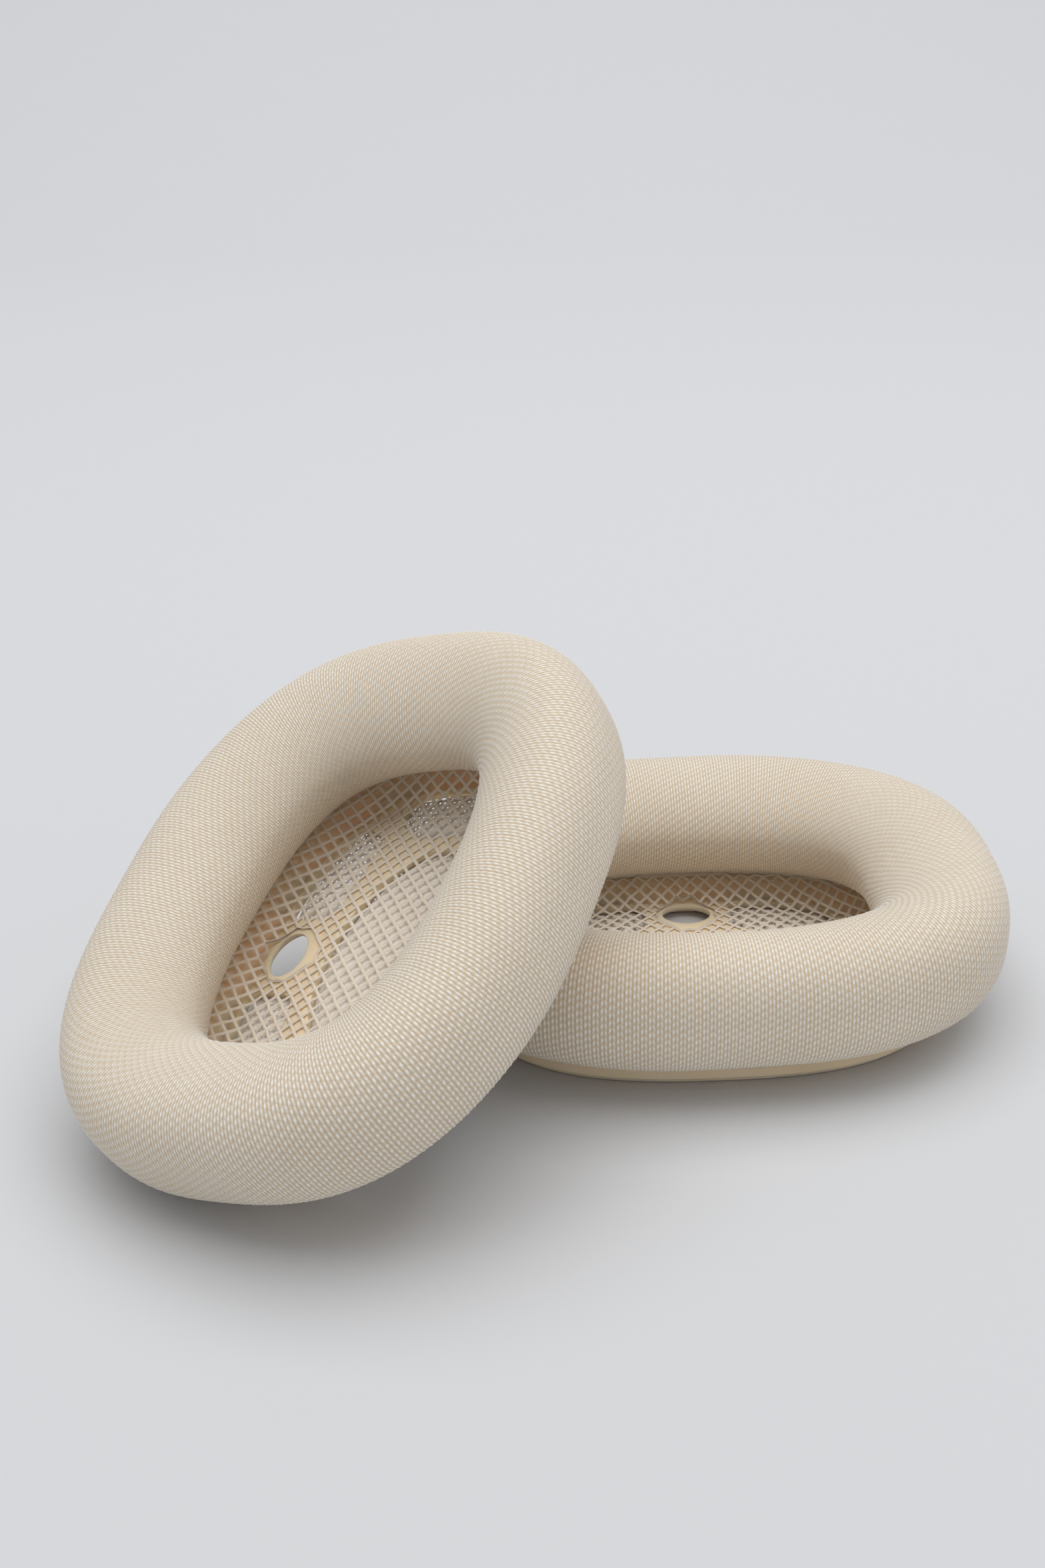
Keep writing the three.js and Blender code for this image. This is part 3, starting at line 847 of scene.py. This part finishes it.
def fineCloth(side, place):
    # open all over, except in the middle, where a closer cloth backs it, and crowned in each opening
    wide = 2 * (oval["longHalf"] - cloth["inset"])
    tall = 2 * (oval["shortHalf"] - cloth["inset"])
    across, up = round(wide / cloth["pitch"]), round(tall / cloth["pitch"])
    bpy.ops.mesh.primitive_grid_add(x_subdivisions=across, y_subdivisions=up, size=1)
    piece = bpy.context.object
    piece.name = side + "_fine_cloth"
    piece.scale = (across * cloth["pitch"], up * cloth["pitch"], 1)
    bpy.ops.object.transform_apply(scale=True)
    points = vertexArray(piece)
    offset, _ = offsetOf(points)
    hole = moulding["sensorRadius"] + moulding["sensorWall"] + cloth["sensorGap"]
    inHole = np.hypot(points[:, 0], points[:, 1] - sensorY()) < hole
    cutAway(piece, (offset > -cloth["inset"]) | inHole)
    centres = np.array([tuple(p.center) for p in piece.data.polygons])
    closed = insideCentre(centres, cloth["closedInset"])
    edit(piece)
    bpy.ops.mesh.select_mode(type="FACE")
    bpy.ops.mesh.select_all(action="DESELECT")
    leave()
    piece.data.polygons.foreach_set("select", [not bool(mark) for mark in closed])
    bpy.ops.object.mode_set(mode="EDIT")
    bpy.ops.mesh.inset(thickness=cloth["rim"], use_individual=True)
    bpy.ops.mesh.delete(type="FACE")
    leave()
    points = vertexArray(piece)
    share = np.clip(openingDepth(points) / cloth["crownRun"], 0, 1)
    points[:, 2] = cloth["height"] + cloth["crown"] * share * share * (3 - 2 * share)
    setVertices(piece, points)
    piece.data.polygons.foreach_set("use_smooth", [True] * len(piece.data.polygons))
    piece.data.materials.clear()
    piece.data.materials.append(materials["cloth"])
    seat(piece, side, place, "cloth", side + "_acoustic_cloth")
    return piece


for side in ("right", "left"):
    place = cushionPlace(side)
    knitCover(side, place)
    print(side, "cover knitted")
    mouldedFrame(side, place)
    print(side, "frame moulded")
    diamondNet(side, place)
    print(side, "net stretched")
    fineCloth(side, place)
    print(side, "cloth laid")

finishes = {"foam_ring": "foam", "foam_tape": "tape", "magnet": "magnet"}
for name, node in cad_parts.items():
    for part, finish in finishes.items():
        if part in name:
            node.data.materials.clear()
            node.data.materials.append(materials[finish])
print("frame nodes finished")


# The paper's shape in metres, and the light
studio = {
    # the back colour and the grade towards it are painted light on the paper
    "floorColour": (0.63, 0.637, 0.65), "paintedLitBackColour": (0.71, 0.72, 0.738),
    "paintedLightStart": -0.2, "grain": 0.04,
    "near": -2.5, "bend": 0.75, "bendRadius": 0.6, "top": 2.6, "halfWidth": 3.5,
    "bendSteps": 16, "drop": 0.0002,
    "world": 0.52, "worldColour": (0.97, 0.98, 1.0, 1),
    "key": 16.0, "keyPlace": (0.1, -0.02, 1.4), "keySize": 1.6,
}


def floorMaterial():
    # pale paper, painted a little bluer and lighter towards the back as painted light
    r = Recipe("paper_sweep")
    spot = r.place()
    split = r.node("ShaderNodeSeparateXYZ")
    r.link(spot, split.inputs[0])
    far = r.math("SUBTRACT", split.outputs["Y"], studio["paintedLightStart"])
    grain = r.noise(spot, 300.0, 2.0)
    # painted light: the paper grows lighter and bluer towards the back
    tone = r.ramp(far, [(0.0, studio["floorColour"]), (1.0, studio["paintedLitBackColour"])])
    grains = r.ramp(grain, [(0.3, grey(0.9)), (0.7, grey(1.0))])
    tone = r.mix(studio["grain"], tone, grains, "MULTIPLY")
    r.link(tone, r.shader.inputs["Base Color"])
    r.set(Roughness=0.9)
    return r.material


def paperSweep():
    # a floor that curves up into a backdrop
    s = studio
    radius = s["bendRadius"]
    path = [(s["near"], 0), (s["bend"], 0)]
    for k in range(1, s["bendSteps"] + 1):
        turn = k / s["bendSteps"] * math.pi / 2
        path.append((s["bend"] + radius * math.sin(turn), radius * (1 - math.cos(turn))))
    path.append((s["bend"] + radius, s["top"]))
    across = (-s["halfWidth"], s["halfWidth"])
    vertices = [(x, y, z - s["drop"]) for y, z in path for x in across]
    faces = [(2 * k, 2 * k + 1, 2 * k + 3, 2 * k + 2) for k in range(len(path) - 1)]
    sweep = meshPiece("paper_sweep", vertices, faces, Matrix.Identity(4))
    smooth(sweep, 40)
    sweep.data.materials.append(floorMaterial())


def keyLight():
    # a large soft light over the cushions
    light = bpy.data.lights.new("keyLight", "AREA")
    light.size = studio["keySize"]
    light.energy = studio["key"]
    lamp = bpy.data.objects.new("keyLight", light)
    lamp.location = studio["keyPlace"]
    lamp.rotation_euler = (-Vector(studio["keyPlace"])).to_track_quat("-Z", "Y").to_euler()
    bpy.context.collection.objects.link(lamp)


def paleWorld():
    world = bpy.data.worlds.new("studio")
    world.use_nodes = True
    background = world.node_tree.nodes["Background"]
    background.inputs["Color"].default_value = studio["worldColour"]
    background.inputs["Strength"].default_value = studio["world"]
    bpy.context.scene.world = world


view = {
    "back": 307.0, "left": 29.3, "up": 177.3,      # mm from the flat cushion's middle
    "pitch": 24.33, "roll": -1.40, "lens": 47.41,  # degrees, degrees, mm on a 36 mm long side
}


def studioCamera():
    middle = cushionPlace("right").translation
    camera = bpy.data.cameras.new("camera")
    camera.lens = view["lens"]
    camera.sensor_width = 36
    camera.sensor_fit = "AUTO"
    camera.clip_start = 0.01
    holder = bpy.data.objects.new("camera", camera)
    pitch = Matrix.Rotation(math.radians(90 - view["pitch"]), 4, "X")
    roll = Matrix.Rotation(math.radians(view["roll"]), 4, "Z")
    x, y = middle.x - view["left"] * mm, middle.y - view["back"] * mm
    holder.matrix_world = Matrix.Translation((x, y, view["up"] * mm)) @ pitch @ roll
    bpy.context.collection.objects.link(holder)
    bpy.context.scene.camera = holder


paperSweep()
keyLight()
paleWorld()
studioCamera()
bpy.context.scene.view_settings.view_transform = "Standard"
print("studio set")
